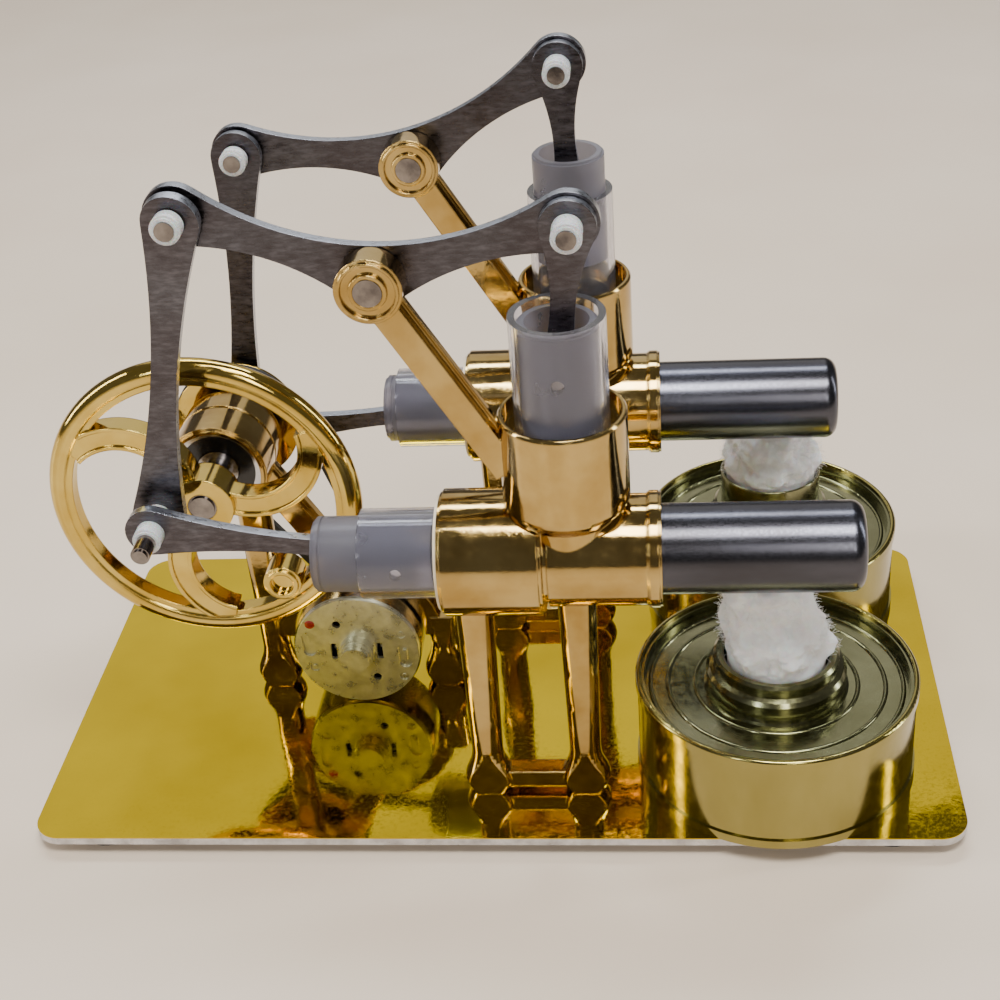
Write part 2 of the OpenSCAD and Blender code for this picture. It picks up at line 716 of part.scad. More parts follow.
module body(e) {
  arm_slope = -59.6;
  arm_w = 4.5;
  arm_l = 37;
  color(c_gold) difference() {
    union() {
      translate([0, engine_y[e], deck + barrel_h]) {
        rod_x(barrel_r[0], barrel_x[0] + 0.5, barrel_x[1] - 0.9);
        rod_x(barrel_r[0] - 0.5, barrel_x[0], barrel_x[1] - 0.4);
        rod_x(barrel_r[1] - 0.7, barrel_x[1] - 1, barrel_x[1] + 1);
        rod_x(barrel_r[1], barrel_x[1] + 0.4, barrel_x[2] - 0.5);
        rod_x(end_flange_r, barrel_x[2] - end_flange_w, barrel_x[2] - 0.4);
        rod_x(end_flange_r - 0.2, barrel_x[2] - end_flange_w - 0.3, barrel_x[2]);
      }
      translate([cylinder_x, engine_y[e], deck]) {
        rotate_extrude($fn = 96)
          polygon([[0, barrel_h], [cup_r - cup_foot[0], barrel_h], [cup_r - cup_foot[0], cup_foot_h - cup_foot[1]],
                   [cup_r - 0.9, cup_foot_h - 0.9], [cup_r - 0.3, cup_foot_h - 0.5], [cup_r, cup_foot_h + 0.3],
                   [cup_r, cup_rim_h - 0.4], [cup_r - 0.3, cup_rim_h], [0, cup_rim_h]]);
      }
      for (x = leg_x) translate([x, engine_y[e], deck]) leg(leg_top_h, leg_top_r);
      translate([leg_x[0], engine_y[e] - 1.8, deck + 1.2]) cube([leg_x[1] - leg_x[0], 3.6, 3.3]);
      at(e, pivot_c) {
        rod_y(boss_r, boss_y[0] + 0.5, boss_y[1]);
        rod_y(boss_r - 0.5, boss_y[0], boss_y[1]);
        rotate([0, -arm_slope, 0]) {
          translate([0, boss_y[0] + 0.6, -arm_w / 2]) cube([arm_l, boss_y[1] - boss_y[0] - 1.4, arm_w]);
          translate([0, boss_y[0] + 2.6, 0]) cube([arm_l, 1.2, arm_w / 2 + 0.8]);
        }
      }
    }
    at(e, pivot_c) rod_y(pivot_pin_d / 2 + seat_gap, boss_y[0] - 1, boss_y[1] + 1);
    at(e, pivot_c) translate([0, boss_y[0] - eps, 0]) difference() {
      rod_y(boss_r - 1, 0, 0.7);
      rod_y(pivot_pin_d / 2 + 0.7, -1, 2);
    }
    at(e, [0, barrel_h]) {
      rod_x(tube_d / 2 + seat_gap, barrel_x[0] - 1, guide_tube_x[1]);
      rod_x(chamber_r, barrel_x[0], barrel_x[2]);
      rod_x(cap_d / 2 + seat_gap, cap_seat_x, barrel_x[2] + 1);
    }
    translate([cylinder_x, engine_y[e], deck]) {
      translate([0, 0, barrel_h]) cylinder(r = port_r, h = 30);
      translate([0, 0, tube_seat_h]) cylinder(d = tube_d + 2 * seat_gap, h = 30);
      translate([0, 0, cup_floor_h]) cylinder(r = cup_r - cup_wall, h = 30);
    }
    for (x = leg_x) translate([x, engine_y[e], 0]) screw_bore();
  }
}

module hot_cap(e) {
  r = cap_d / 2;
  l = cap_end_x - cap_seat_x - 0.1;
  color(c_steel) at(e, [cap_seat_x + 0.1, barrel_h]) rotate([0, 90, 0])
    rotate_extrude() difference() {
      union() {
        square([r, l - cap_round]);
        square([r - cap_round, l]);
        translate([r - cap_round, l - cap_round]) circle(cap_round);
      }
      translate([-10, 0]) square([r - cap_wall + 10, l - cap_round]);
      translate([-10, 0]) square([r - cap_round + 10, l - cap_wall]);
      translate([r - cap_round, l - cap_round]) circle(cap_round - cap_wall);
      translate([-20, -5]) square([20, l + 10]);
    }
}

module guide_tube(e) {
  color(c_tube) at(e, [0, barrel_h]) difference() {
    rod_x(tube_d / 2, guide_tube_x[0], guide_tube_x[1]);
    rod_x(tube_bore_d / 2, guide_tube_x[0] - 1, guide_tube_x[1] + 1);
  }
}

module power_tube(e) {
  color(c_tube) at(e, [cylinder_x, 0]) translate([0, 0, tube_seat_h]) difference() {
    cylinder(d = tube_d, h = tube_top_h - tube_seat_h);
    translate([0, 0, -1]) cylinder(d = tube_bore_d, h = tube_top_h - tube_seat_h + 2);
  }
}

module cap_gaskets() {
  color(c_nylon) for (e = [0, 1]) at(e, [0, barrel_h]) difference() {
    rod_x(barrel_r[0] - 1, barrel_x[0] - 0.5, barrel_x[0]);
    rod_x(tube_d / 2 + seat_gap, barrel_x[0] - 1, barrel_x[0] + 1);
  }
}

module guide_piston(e) {
  color(c_nylon) at(e, guide_c(e)) difference() {
    union() {
      rod_x(piston_d / 2, -guide_mouth + 1.6, guide_head);
      rod_x(piston_d / 2 - 0.15, -guide_mouth + 1.3, guide_head);
      rod_x(piston_d / 2, -guide_mouth + 0.5, -guide_mouth + 1.3);
      rod_x(piston_d / 2 - 0.5, -guide_mouth, guide_head);
    }
    rod_x(piston_cavity_d / 2, -guide_mouth - 1, guide_head - guide_wall);
    rod_x(small_pin_d / 2 + seat_gap, 0, guide_head + 1);
    rod_y(small_pin_d / 2 + seat_gap, -small_pin_l, small_pin_l);
  }
}

module rod_and_pin(e) {
  color(c_steel) at(e, guide_c(e)) {
    rod_x(small_pin_d / 2, guide_head - guide_wall, displacer_x[0] + 1.2);
    rod_y(small_pin_d / 2, -small_pin_l / 2, small_pin_l / 2);
  }
}

module displacer(e) {
  r = cap_d / 2 - cap_wall - displacer_gap;
  color(c_steel) at(e, guide_c(e)) difference() {
    rod_x(r, displacer_x[0], displacer_x[1]);
    rod_x(r - displacer_wall, displacer_x[0] + 1.5, displacer_x[1] - 1.5);
    rod_x(small_pin_d / 2 + seat_gap, displacer_x[0] - 1, displacer_x[0] + 2);
  }
}

module power_piston(e) {
  color(c_nylon) at(e, wrist_c(e)) difference() {
    union() {
      translate([0, 0, power_crown - power_len]) cylinder(d = piston_d, h = power_len - 0.4);
      translate([0, 0, power_crown - power_len]) cylinder(d = piston_d - 0.8, h = power_len);
    }
    translate([0, 0, power_crown - power_cavity]) cylinder(d = piston_cavity_d, h = 30);
    rod_y(small_pin_d / 2 + seat_gap, -small_pin_l, small_pin_l);
  }
}

module wrist_pin(e) {
  color(c_steel) at(e, wrist_c(e)) rod_y(small_pin_d / 2, -small_pin_l / 2, small_pin_l / 2);
}

// Unit vector from an arm's centre line to its under side
function under(p) = (p[0] > 0 ? 1 : -1) * [p[1], -p[0]] / norm(p);

// Beam outline about the pivot: two arms under one long concave top edge
module beam_outline(e) {
  a = left_c(e) - pivot_c;
  b = right_c(e) - pivot_c;
  u = (b - a) / norm(b - a);
  n = [-u[1], u[0]];
  span = norm(b - a);
  drop = (a * n) - beam_rise;
  r = graze_r(span, beam_eye_r, beam_eye_r, -drop);
  top = a + u * span / 2 + n * (r - drop);
  ta = a + (top - a) * ((beam_eye_r - graze_gap) / norm(top - a));
  tb = b + (top - b) * ((beam_eye_r - graze_gap) / norm(top - b));
  difference() {
    union() {
      polygon([tb, ta, a, [0, 0], b]);
      for (p = [a, b]) {
        hub = under(p) * (beam_hub_r - 2 * graze_gap);
        eye = p + under(p) * (beam_eye_r - 2 * graze_gap);
        polygon(p[0] > 0 ? [[0, 0], hub, eye, p] : [[0, 0], p, eye, hub]);
      }
    }
    translate(top) circle(r - graze_gap, $fn = 360);
    for (p = [a, b]) {
      l = norm(p);
      rl = graze_r(l, beam_hub_r, beam_eye_r, arm_half);
      translate(p / l * graze_x(l, beam_hub_r, beam_eye_r, rl) + under(p) * (rl + arm_half))
        circle(rl - graze_gap, $fn = 360);
    }
  }
  for (p = [a, b]) translate(p) circle(beam_eye_r);
  circle(beam_hub_r);
}

module beam(e) {
  color(c_dark) at(e, pivot_c) difference() {
    plate_y(beam_y - link_t / 2, beam_y + link_t / 2) beam_outline(e);
    rod_y(pivot_pin_d / 2 + run_gap, 0, 5);
    for (p = [left_c(e) - pivot_c, right_c(e) - pivot_c])
      translate([p[0], 0, p[1]]) rod_y(beam_pin_d / 2 + seat_gap, 0, 5);
  }
}

module pivot_pins() {
  back = beam_y + link_t / 2 + side_gap;
  color(c_dark) for (e = [0, 1]) at(e, pivot_c) {
    rod_y(pivot_pin_d / 2, boss_y[0] - 0.1, back);
    rod_y(pivot_pin_d / 2 + 1, back, back + pin_head_t);
  }
}

module beam_pins(e) {
  back = beam_y + link_t / 2;
  color(c_dark) {
    at(e, left_c(e)) rod_y(beam_pin_d / 2, left_sleeve_y[1] - 0.3, back);
    at(e, left_c(e)) rod_y(beam_pin_d / 2 + 0.8, back, back + pin_head_t);
    at(e, right_c(e)) rod_y(beam_pin_d / 2, right_sleeve_y[1] - 0.3, back);
    at(e, right_c(e)) rod_y(beam_pin_d / 2 + 0.8, back, back + pin_head_t);
  }
}

module nylon_sleeve(y0, y1, pin_r) {
  difference() {
    union() {
      rod_y(sleeve_d / 2, y0 + 0.35, y1);
      rod_y(sleeve_d / 2 - 0.35, y0, y1);
    }
    rod_y(pin_r + seat_gap, y0 - 1, y1 + 1);
  }
}

module beam_sleeves(e) {
  color(c_nylon) {
    at(e, left_c(e)) nylon_sleeve(left_sleeve_y[1], left_sleeve_y[0], beam_pin_d / 2);
    at(e, right_c(e)) nylon_sleeve(right_sleeve_y[1], right_sleeve_y[0], beam_pin_d / 2);
  }
}

// Long link: a flat plate that leans from the beam to the crank
module long_link(e) {
  rise = long_top_y - long_low_y[e];
  lean = asin(rise / norm([long_link_l, rise]));
  color(c_dark) difference() {
    at(e, crank_c(e)) translate([0, long_low_y[e], 0])
      rotate([0, -long_angle(e), 0]) rotate([0, 0, lean])
        plate_y(-link_t / 2, link_t / 2)
          link_outline(norm([long_link_l, rise]), long_eye_r, long_eye_r, long_waist);
    at(e, left_c(e)) rod_y(beam_pin_d / 2 + run_gap, -10, 10);
    at(e, crank_c(e)) rod_y(bush_d / 2 + seat_gap, -10, 10);
  }
}

// Nylon bush in the long link's lower eye, which spaces it from the cross link
module crank_bush(e) {
  inner = link_t / 2 + side_gap;
  far = long_low_y[e] + (e == 0 ? bush_past[0] : -bush_past[1]);
  near = e == 0 ? inner : -inner;
  color(c_nylon) at(e, crank_c(e)) rod_y(bush_d / 2, min(near, far), max(near, far));
}

module short_link(e) {
  v = wrist_c(e) - right_c(e);
  color(c_dark) difference() {
    at(e, right_c(e)) rotate([0, -heading(v), 0])
      plate_y(-link_t / 2, link_t / 2)
        link_outline(short_link_l, short_eye_r, short_small_r, short_waist);
    at(e, right_c(e)) rod_y(beam_pin_d / 2 + run_gap, -5, 5);
    at(e, wrist_c(e)) rod_y(small_pin_d / 2 + wrist_play, -5, 5);
  }
}

module cross_link(e) {
  v = guide_c(e) - crank_c(e);
  color(c_dark) difference() {
    at(e, crank_c(e)) rotate([0, -heading(v), 0])
      plate_y(-link_t / 2, link_t / 2)
        link_outline(cross_link_l, cross_eye_r, cross_small_r, cross_waist);
    at(e, crank_c(e)) rod_y(crank_pin_d / 2 + seat_gap, -5, 5);
    at(e, guide_c(e)) rod_y(small_pin_d / 2 + run_gap, -5, 5);
  }
}

// The outer side of the crank pin faces -Y in front and +Y at the back
module outward(e) {
  mirror([0, e, 0]) children();
}

module end_sleeve(e) {
  color(c_nylon) at(e, crank_c(e)) outward(e)
    nylon_sleeve(-link_t / 2 - end_sleeve_l, -link_t / 2, crank_pin_d / 2);
}

module pin_end(e) {
  front = -link_t / 2 - end_sleeve_l - pin_end_l;
  color(c_dark) at(e, crank_c(e)) outward(e) {
    rod_y(crank_pin_d / 2, front + 0.4, link_t / 2);
    rod_y(crank_pin_d / 2 - 0.4, front, front + 0.5);
  }
}

base_board();
mirror_sheet();
rubber_feet();
leg_screws();
bearing_stand();
bearing_rings();
bearing_seals();
bearing_inner_rings();
crankshaft();
flywheel();
crank_pins();
rear_crank_disc();
drive_belt();
motor_can();
motor_end_plate();
motor_armature();
motor_pulley();
pivot_pins();
cap_gaskets();
can_body(front_can_x, -can_y);  // front_can
can_body(rear_can_x, can_y);  // rear_can
can_lid(front_can_x, -can_y, holder_rise[0]);  // front_lid
can_lid(rear_can_x, can_y, holder_rise[1]);  // rear_lid
wicks();
body(0);  // front_body
hot_cap(0);  // front_hot_cap
guide_tube(0);  // front_guide_tube
power_tube(0);  // front_power_tube
guide_piston(0);  // front_guide_piston
rod_and_pin(0);  // front_rod_and_pin
displacer(0);  // front_displacer
power_piston(0);  // front_power_piston
wrist_pin(0);  // front_wrist_pin
beam(0);  // front_beam
beam_pins(0);  // front_beam_pins
beam_sleeves(0);  // front_beam_sleeves
long_link(0);  // front_long_link
crank_bush(0);  // front_crank_bush
short_link(0);  // front_short_link
cross_link(0);  // front_cross_link
end_sleeve(0);  // front_end_sleeve
pin_end(0);  // front_pin_end
body(1);  // rear_body
hot_cap(1);  // rear_hot_cap
guide_tube(1);  // rear_guide_tube
power_tube(1);  // rear_power_tube
guide_piston(1);  // rear_guide_piston
rod_and_pin(1);  // rear_rod_and_pin
displacer(1);  // rear_displacer
power_piston(1);  // rear_power_piston
wrist_pin(1);  // rear_wrist_pin
beam(1);  // rear_beam
beam_pins(1);  // rear_beam_pins
beam_sleeves(1);  // rear_beam_sleeves
long_link(1);  // rear_long_link
crank_bush(1);  // rear_crank_bush
short_link(1);  // rear_short_link
cross_link(1);  // rear_cross_link
end_sleeve(1);  // rear_end_sleeve
pin_end(1);  // rear_pin_end
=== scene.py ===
"""Looks of the twin-cylinder stirling engine model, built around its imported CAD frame."""
import bpy
import json
import math
import random
from mathutils import Matrix, Vector, noise


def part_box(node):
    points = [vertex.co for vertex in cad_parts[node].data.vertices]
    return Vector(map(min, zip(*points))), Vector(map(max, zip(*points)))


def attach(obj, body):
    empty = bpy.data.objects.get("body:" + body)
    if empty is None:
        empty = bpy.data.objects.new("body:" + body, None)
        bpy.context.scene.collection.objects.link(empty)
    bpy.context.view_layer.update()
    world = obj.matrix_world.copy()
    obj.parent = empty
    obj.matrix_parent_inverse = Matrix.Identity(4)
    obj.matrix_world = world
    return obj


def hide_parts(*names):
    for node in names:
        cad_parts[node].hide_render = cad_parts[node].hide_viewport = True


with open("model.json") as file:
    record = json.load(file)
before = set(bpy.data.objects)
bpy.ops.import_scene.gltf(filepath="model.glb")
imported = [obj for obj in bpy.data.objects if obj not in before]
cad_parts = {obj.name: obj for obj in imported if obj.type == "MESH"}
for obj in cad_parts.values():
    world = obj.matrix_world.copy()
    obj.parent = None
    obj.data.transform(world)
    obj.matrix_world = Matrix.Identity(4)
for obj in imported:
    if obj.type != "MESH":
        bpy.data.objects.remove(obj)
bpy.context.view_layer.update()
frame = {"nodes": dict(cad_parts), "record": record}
nodes = frame["nodes"]
MM = 0.001
SIDES = ("front", "rear")

# ---------------------------------------------------------------- node helpers


class Shader:
    """A Principled material that is built up node by node."""

    def __init__(self, name, base, metallic=0.0, roughness=0.5, **sockets):
        self.mat = bpy.data.materials.new(name)
        self.mat.use_nodes = True
        self.tree = self.mat.node_tree
        self.bsdf = self.tree.nodes["Principled BSDF"]
        self.put("Base Color", (*base, 1.0))
        self.put("Metallic", metallic)
        self.put("Roughness", roughness)
        for socket, value in sockets.items():
            self.put(socket.replace("_", " "), value)
        self.coords = self.tree.nodes.new("ShaderNodeTexCoord")

    def put(self, socket, value):
        """Sets a socket of the Principled node."""
        self.bsdf.inputs[socket].default_value = value

    def node(self, kind, **values):
        """A new node; a value goes to the input of that name, or else to the node's setting."""
        made = self.tree.nodes.new(kind)
        for key, value in values.items():
            if key in made.inputs:
                made.inputs[key].default_value = value
            else:
                setattr(made, key, value)
        return made

    def link(self, source, target):
        self.tree.links.new(source, target)

    def mapped(self, scale=(1, 1, 1)):
        """Object coordinates, stretched along each axis."""
        mapping = self.node("ShaderNodeMapping")
        mapping.inputs["Scale"].default_value = scale
        self.link(self.coords.outputs["Object"], mapping.inputs["Vector"])
        return mapping.outputs["Vector"]

    def noise(self, scale, detail=3.0, rough=0.55, stretch=(1, 1, 1), distort=0.0):
        """A noise whose features are about 1/scale metres across."""
        made = self.node("ShaderNodeTexNoise", Scale=scale, Detail=detail, Roughness=rough,
                         Distortion=distort)
        self.link(self.mapped(stretch), made.inputs["Vector"])
        return made.outputs["Fac"]

    def speckle(self, scale):
        """Distance to the nearest of many scattered points, about 1/scale metres apart."""
        made = self.node("ShaderNodeTexVoronoi", Scale=scale)
        self.link(self.mapped(), made.inputs["Vector"])
        return made.outputs["Distance"]

    def ramp(self, value, stops):
        """A colour ramp over value; stops are (place, colour)."""
        made = self.node("ShaderNodeValToRGB")
        elements = made.color_ramp.elements
        while len(elements) < len(stops):
            elements.new(0.5)
        for element, (place, colour) in zip(elements, stops):
            element.position = place
            element.color = (*colour, 1.0)
        self.link(value, made.inputs["Fac"])
        return made.outputs["Color"]

    def remap(self, value, low, high, start=0.3, end=0.7):
        """Takes value from the range start to end into the range low to high."""
        made = self.node("ShaderNodeMapRange")
        made.inputs["From Min"].default_value = start
        made.inputs["From Max"].default_value = end
        made.inputs["To Min"].default_value = low
        made.inputs["To Max"].default_value = high
        self.link(value, made.inputs["Value"])
        return made.outputs["Result"]

    def mix(self, factor, a, b, blend="MIX"):
        """Blends two colours; each argument is a constant or a socket."""
        made = self.node("ShaderNodeMix", data_type="RGBA", blend_type=blend)
        for value, socket in ((factor, made.inputs[0]), (a, made.inputs[6]), (b, made.inputs[7])):
            if isinstance(value, bpy.types.NodeSocket):
                self.link(value, socket)
            else:
                socket.default_value = value if isinstance(value, float) else (*value, 1.0)
        return made.outputs[2]

    def facing(self, axis):
        """How far the surface's own normal lies along an axis, from 0 to 1."""
        split = self.node("ShaderNodeSeparateXYZ")
        self.link(self.coords.outputs["Normal"], split.inputs[0])
        size = self.node("ShaderNodeMath", operation="ABSOLUTE")
        self.link(split.outputs[axis], size.inputs[0])
        return size.outputs[0]

    def colour(self, output):
        self.link(output, self.bsdf.inputs["Base Color"])

    def rough(self, output):
        self.link(output, self.bsdf.inputs["Roughness"])

    def bump(self, *layers, edge=0.0):
        """Stacks bump layers over edges that look rounded by edge metres.

        A layer is (height output, strength, distance in metres).
        """
        last = None
        if edge:
            last = self.node("ShaderNodeBevel", samples=4, Radius=edge).outputs["Normal"]
        for height, strength, distance in layers:
            made = self.node("ShaderNodeBump", Strength=strength, Distance=distance)
            self.link(height, made.inputs["Height"])
            if last is not None:
                self.link(last, made.inputs["Normal"])
            last = made.outputs["Normal"]
        self.link(last, self.bsdf.inputs["Normal"])


# ---------------------------------------------------------------- materials


def plated_gold(name, pale, deep, roughness):
    """Bright gold plating over a cast skin: orange peel, fine pits, cloudy colour."""
    s = Shader(name, pale, 1.0, roughness)
    s.colour(s.ramp(s.noise(90, 4.0), [(0.30, deep), (0.62, pale)]))
    s.rough(s.remap(s.noise(420, 5.0), roughness * 0.6, roughness * 2.2))
    pits = s.remap(s.speckle(1500), 0.0, 1.0, 0.0, 0.22)
    s.bump((s.noise(150, 2.0), 0.05, 0.0006), (s.noise(900, 2.0, 0.5), 0.10, 0.00010),
           (pits, 0.10, 0.00005), edge=0.0004)
    return s.mat


def mirror_film():
    """Gold mirror film, slightly wavy, with dust and rub marks."""
    s = Shader("gold_mirror_film", (0.68, 0.49, 0.010), 1.0, 0.05)
    s.colour(s.ramp(s.noise(26, 3.0), [(0.3, (0.54, 0.38, 0.006)), (0.7, (0.74, 0.54, 0.014))]))
    s.rough(s.remap(s.noise(1300, 6.0, 0.7), 0.04, 0.22, 0.45, 0.78))
    s.bump((s.noise(30, 3.0, 0.5, (1, 0.45, 1), 0.5), 0.34, 0.0011),
           (s.noise(420, 3.0), 0.08, 0.00012))
    return s.mat


def link_steel():
    """Blued strip steel: brushed faces, with the edges given a light colour as a painted highlight.
    """
    s = Shader("link_steel", (0.30, 0.31, 0.34), 1.0, 0.32)
    mottle = s.noise(1500, 5.0, 0.6, (0.3, 1, 1))
    face = s.ramp(mottle, [(0.25, (0.062, 0.058, 0.066)), (0.50, (0.092, 0.090, 0.104)),
                           (0.80, (0.175, 0.175, 0.205))])
    cloud = s.ramp(s.noise(75, 3.0, 0.5), [(0.35, (0.80, 0.74, 0.72)), (0.65, (1, 1, 1))])
    face = s.mix(1.0, face, cloud, "MULTIPLY")
    # Every surface not facing along Y gets a light colour: a painted highlight along the links'
    # edges.
    edge = s.remap(s.facing(1), 1.0, 0.0, 0.25, 0.75)
    s.colour(s.mix(edge, face, (0.42, 0.45, 0.52)))
    s.rough(s.remap(mottle, 0.20, 0.42))
    s.bump((mottle, 0.14, 0.00008), (s.noise(2600, 3.0, 0.6, (0.12, 1, 1)), 0.28, 0.00005),
           edge=0.0002)
    return s.mat


def drawn_steel(name, dark, light, roughness):
    """Turned or drawn steel with a fine grain."""
    s = Shader(name, light, 1.0, roughness)
    s.colour(s.ramp(s.noise(260, 5.0, 0.6), [(0.32, dark), (0.68, light)]))
    s.rough(s.remap(s.noise(900, 4.0, 0.6), roughness * 0.7, roughness * 1.4))
    s.bump((s.noise(1600, 3.0, 0.6), 0.10, 0.00005))
    return s.mat


def tinplate(name, dark, light, roughness):
    """Lacquered tinplate with faint dents, runs and rub marks."""
    s = Shader(name, light, 1.0, roughness, Coat_Weight=0.35, Coat_Roughness=0.12)
    s.colour(s.ramp(s.noise(60, 4.0, 0.6, (1, 1, 0.5)), [(0.30, dark), (0.70, light)]))
    s.rough(s.remap(s.noise(700, 5.0, 0.65), roughness * 0.7, roughness * 1.6))
    s.bump((s.noise(55, 2.0), 0.12, 0.0010), (s.noise(1100, 3.0), 0.07, 0.00006))
    return s.mat


def clear_tube():
    """Clear plastic tube with a faint violet cast."""
    s = Shader("clear_tube", (0.80, 0.80, 0.88), 0.0, 0.04, Transmission_Weight=0.96, IOR=1.40)
    s.rough(s.remap(s.noise(500, 4.0), 0.02, 0.12))
    s.bump((s.noise(120, 2.0), 0.05, 0.0003))
    return s.mat


def frosted():
    """Milky moulded plastic that lets light through."""
    s = Shader("frosted_piston", (0.45, 0.45, 0.52), 0.0, 0.30, Transmission_Weight=0.70, IOR=1.30)
    s.colour(s.ramp(s.noise(70, 2.0, 0.5), [(0.3, (0.24, 0.23, 0.28)), (0.7, (0.36, 0.36, 0.42))]))
    s.rough(s.remap(s.noise(200, 3.0), 0.26, 0.40))
    s.bump((s.noise(1400, 3.0), 0.05, 0.00004), edge=0.0003)
    return s.mat


def white_nylon():
    """Translucent white nylon sleeves."""
    s = Shader("white_nylon", (0.84, 0.86, 0.88), 0.0, 0.25, Transmission_Weight=0.30,
               Subsurface_Weight=0.25, Subsurface_Scale=0.002, IOR=1.5)
    s.colour(s.ramp(s.noise(300, 3.0), [(0.3, (0.76, 0.79, 0.83)), (0.7, (0.90, 0.92, 0.94))]))
    s.rough(s.remap(s.noise(900, 4.0), 0.18, 0.36))
    s.bump((s.noise(1200, 3.0), 0.04, 0.00004))
    return s.mat


def soft_black(name, tone, roughness):
    """Moulded rubber or a bearing seal, and the near-black seal rings low in the cups, which are
    painted shade there.
    """
    s = Shader(name, (tone, tone, tone * 1.05), 0.0, roughness)
    s.colour(s.ramp(s.noise(400, 4.0), [(0.3, (tone * 0.6,) * 3), (0.7, (tone * 1.6,) * 3)]))
    s.rough(s.remap(s.noise(900, 4.0), roughness * 0.8, roughness * 1.2))
    s.bump((s.noise(1500, 4.0), 0.15, 0.00008))
    return s.mat


def cream_rubber():
    """Cream sealing rings."""
    s = Shader("cream_rubber", (0.72, 0.62, 0.46), 0.0, 0.45)
    s.colour(s.ramp(s.noise(350, 4.0), [(0.3, (0.60, 0.50, 0.36)), (0.7, (0.80, 0.72, 0.56))]))
    s.bump((s.noise(1200, 3.0), 0.15, 0.00008))
    return s.mat


def zinc_plate():
    """Yellow passivated zinc with a cloudy bloom."""
    s = Shader("yellow_zinc", (0.46, 0.44, 0.28), 0.85, 0.3)
    s.colour(s.ramp(s.noise(520, 5.0, 0.62), [(0.25, (0.42, 0.41, 0.29)), (0.5, (0.52, 0.51, 0.37)),
                                              (0.78, (0.62, 0.61, 0.47))]))
    s.rough(s.remap(s.noise(500, 5.0), 0.22, 0.42))
    s.bump((s.noise(1100, 3.0), 0.08, 0.00005))
    return s.mat


def cotton_wool():
    """Soft white cotton with a fine nap."""
    s = Shader("cotton_wool", (0.93, 0.92, 0.91), 0.0, 0.95, Sheen_Weight=0.6, Sheen_Roughness=0.4,
               Subsurface_Weight=0.35, Subsurface_Scale=0.003)
    s.colour(s.ramp(s.noise(240, 5.0, 0.65),
                    [(0.28, (0.83, 0.80, 0.80)), (0.6, (0.97, 0.96, 0.96))]))
    s.bump((s.noise(900, 6.0, 0.7), 0.5, 0.0004))
    return s.mat


def red_lacquer():
    """The motor's marking paint."""
    s = Shader("red_lacquer", (0.30, 0.006, 0.004), 0.0, 0.25)
    s.colour(s.ramp(s.noise(900, 3.0), [(0.3, (0.20, 0.003, 0.002)), (0.7, (0.42, 0.012, 0.008))]))
    s.bump((s.noise(1500, 3.0), 0.1, 0.00005))
    return s.mat


def satin_cap():
    """Drawn and heat-darkened stainless cap with a sparkling satin skin."""
    s = Shader("satin_stainless", (0.30, 0.30, 0.32), 1.0, 0.24)
    s.colour(s.ramp(s.noise(60, 4.0, 0.6, (0.35, 1, 1)),
                    [(0.30, (0.055, 0.054, 0.062)), (0.70, (0.105, 0.110, 0.138))]))
    grain = s.speckle(2600)
    s.rough(s.remap(grain, 0.15, 0.27, 0.0, 0.6))
    s.bump((s.noise(2200, 3.0, 0.7), 0.14, 0.00005),
           (s.noise(900, 2.0, 0.6, (0.05, 1, 1)), 0.10, 0.00006), edge=0.0003)
    return s.mat


MATERIALS = {
    "gold_casting": plated_gold("gold_casting", (0.53, 0.385, 0.145), (0.37, 0.235, 0.065), 0.07),
    "gold_wheel": plated_gold("gold_wheel", (0.66, 0.49, 0.13), (0.50, 0.33, 0.05), 0.06),
    "gold_mirror": mirror_film(),
    "board_steel": drawn_steel("board_edge_steel", (0.40, 0.40, 0.42), (0.78, 0.79, 0.82), 0.35),
    "rubber": soft_black("black_rubber", 0.022, 0.55),
    # The near-black seal rings low in the cups stand for the deep shade inside the cups: painted
    # shade.
    "black_seal": soft_black("black_seal", 0.010, 0.18),
    "dark_steel": drawn_steel("dark_pin_steel", (0.10, 0.09, 0.09), (0.30, 0.27, 0.25), 0.16),
    "bright_steel": drawn_steel("bright_steel", (0.40, 0.40, 0.42), (0.66, 0.67, 0.70), 0.18),
    "stainless": satin_cap(),
    "zinc": zinc_plate(),
    "nylon": white_nylon(),
    "gasket": cream_rubber(),
    "tinplate": tinplate("tinplate", (0.27, 0.225, 0.045), (0.37, 0.32, 0.105), 0.14),
    "tinplate_lid": tinplate("olive_tinplate", (0.15, 0.15, 0.065), (0.25, 0.25, 0.135), 0.17),
    "cotton": cotton_wool(),
    "clear_tube": clear_tube(),
    "frosted_nylon": frosted(),
    "link_steel": link_steel(),
}


def dress_nodes():
    """Gives every CAD node its record slot's material."""
    slot_of = {row["node"]: row["material_slot"] for row in frame["record"]["subparts"]}
    for name, obj in nodes.items():
        obj.data.materials.clear()
        obj.data.materials.append(MATERIALS[slot_of[name]])


dress_nodes()


# ---------------------------------------------------------------- cotton wicks


def finish_piece(name, verts, faces, material):
    """A smooth mesh object with its material."""
    mesh = bpy.data.meshes.new(name)
    mesh.from_pydata(verts, [], faces)
    mesh.update()
    for polygon in mesh.polygons:
        polygon.use_smooth = True
    obj = bpy.data.objects.new(name, mesh)
    bpy.context.scene.collection.objects.link(obj)
    mesh.materials.append(material)
    return obj


# Each tuft, in mm: how far its top leans along X, and its radius in the neck, just above it
# and at its top
TUFTS = {"front": (-2.6, 8.5, 9.2, 7.4), "rear": (-0.4, 8.5, 9.3, 6.0)}
# Shares of a tuft's free height: where it is widest, and over which it closes at the top
BULGE_AT, CLOSING = 0.18, 0.10
# Share of its radius that is left at the very top
TIP = 0.03
TUFT_ROWS, TUFT_COLS = 110, 110
FIBRES = 2600


